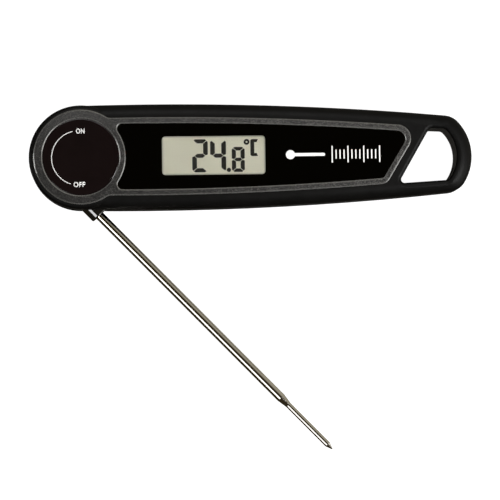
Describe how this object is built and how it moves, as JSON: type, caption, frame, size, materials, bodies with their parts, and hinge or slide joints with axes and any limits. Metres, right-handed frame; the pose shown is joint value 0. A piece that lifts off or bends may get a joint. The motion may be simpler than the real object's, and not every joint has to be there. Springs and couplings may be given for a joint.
{
  "type": "meat thermometer",
  "caption": "Folding digital meat thermometer with a slim steel probe on a hinge that switches it on, a framed display and a slanted hanging loop.",
  "frame": {"origin": "hinge axis where it meets the flat back of the housing", "axes": "+X from the hinge towards the hanging loop, +Y across the housing away from the probe slot, +Z out of the display"},
  "size_m": [0.1546, 0.1211, 0.018],
  "materials": {
    "black_shell": "fine satin texture",
    "black_liner": "matt",
    "black_holder": "polished",
    "graphite_trim": "speckled graphite paint",
    "black_gloss": "polished",
    "clear_lens": "polished",
    "black_film": "printed",
    "lcd_glass": "matt polariser",
    "dark_rubber": "matt",
    "circuit_board": "solder mask",
    "black_epoxy": "smooth",
    "board_parts": "matt",
    "clear_glass": "clear",
    "spring_steel": "plated",
    "cell_steel": "satin",
    "screw_steel": "zinc plated",
    "probe_steel": "polished stainless steel",
    "brass_sleeve": "plain",
    "wire_jacket": "satin"
  },
  "bodies": {
    "housing": {"front_shell": "black_shell", "back_shell": "black_shell", "probe_channel": "black_liner", "bezel_trim": "graphite_trim", "dial_cover": "black_gloss", "display_lens": "clear_lens", "lens_mask": "black_film", "lcd_cell": "lcd_glass", "lcd_frame": "black_liner", "zebra_strips": "dark_rubber", "main_board": "circuit_board", "controller_blob": "black_epoxy", "board_components": "board_parts", "reed_switch": "clear_glass", "battery_terminal_plus": "spring_steel", "battery_terminal_minus": "spring_steel", "coin_cell": "cell_steel", "board_leads": "wire_jacket", "board_screws": "screw_steel", "housing_screws": "screw_steel", "pivot_screw": "screw_steel", "curved_washer": "spring_steel", "hub_o_ring": "dark_rubber"},
    "probe_arm": {"probe_rotor": "black_holder", "rotor_lid": "black_liner", "switch_magnet": "cell_steel", "probe_tube": "probe_steel", "probe_tip": "probe_steel", "thermistor": "black_epoxy", "thermistor_leads": "wire_jacket", "probe_ferrule": "brass_sleeve", "tube_seal": "dark_rubber"},
    "battery_door": {"battery_cover": "black_shell", "battery_cover_seal": "dark_rubber"}
  },
  "joints": [
    {"name": "probe_hinge", "type": "hinge", "parent": "housing", "child": "probe_arm", "pos_m": [0, 0, 0.009], "axis": [0, 0, 1], "range_deg": [-134.2, 46.8]},
    {"name": "battery_twist", "type": "hinge", "parent": "housing", "child": "battery_door", "pos_m": [0.046, 0, 0], "axis": [0, 0, -1], "range_deg": [0, 40]}
  ]
}
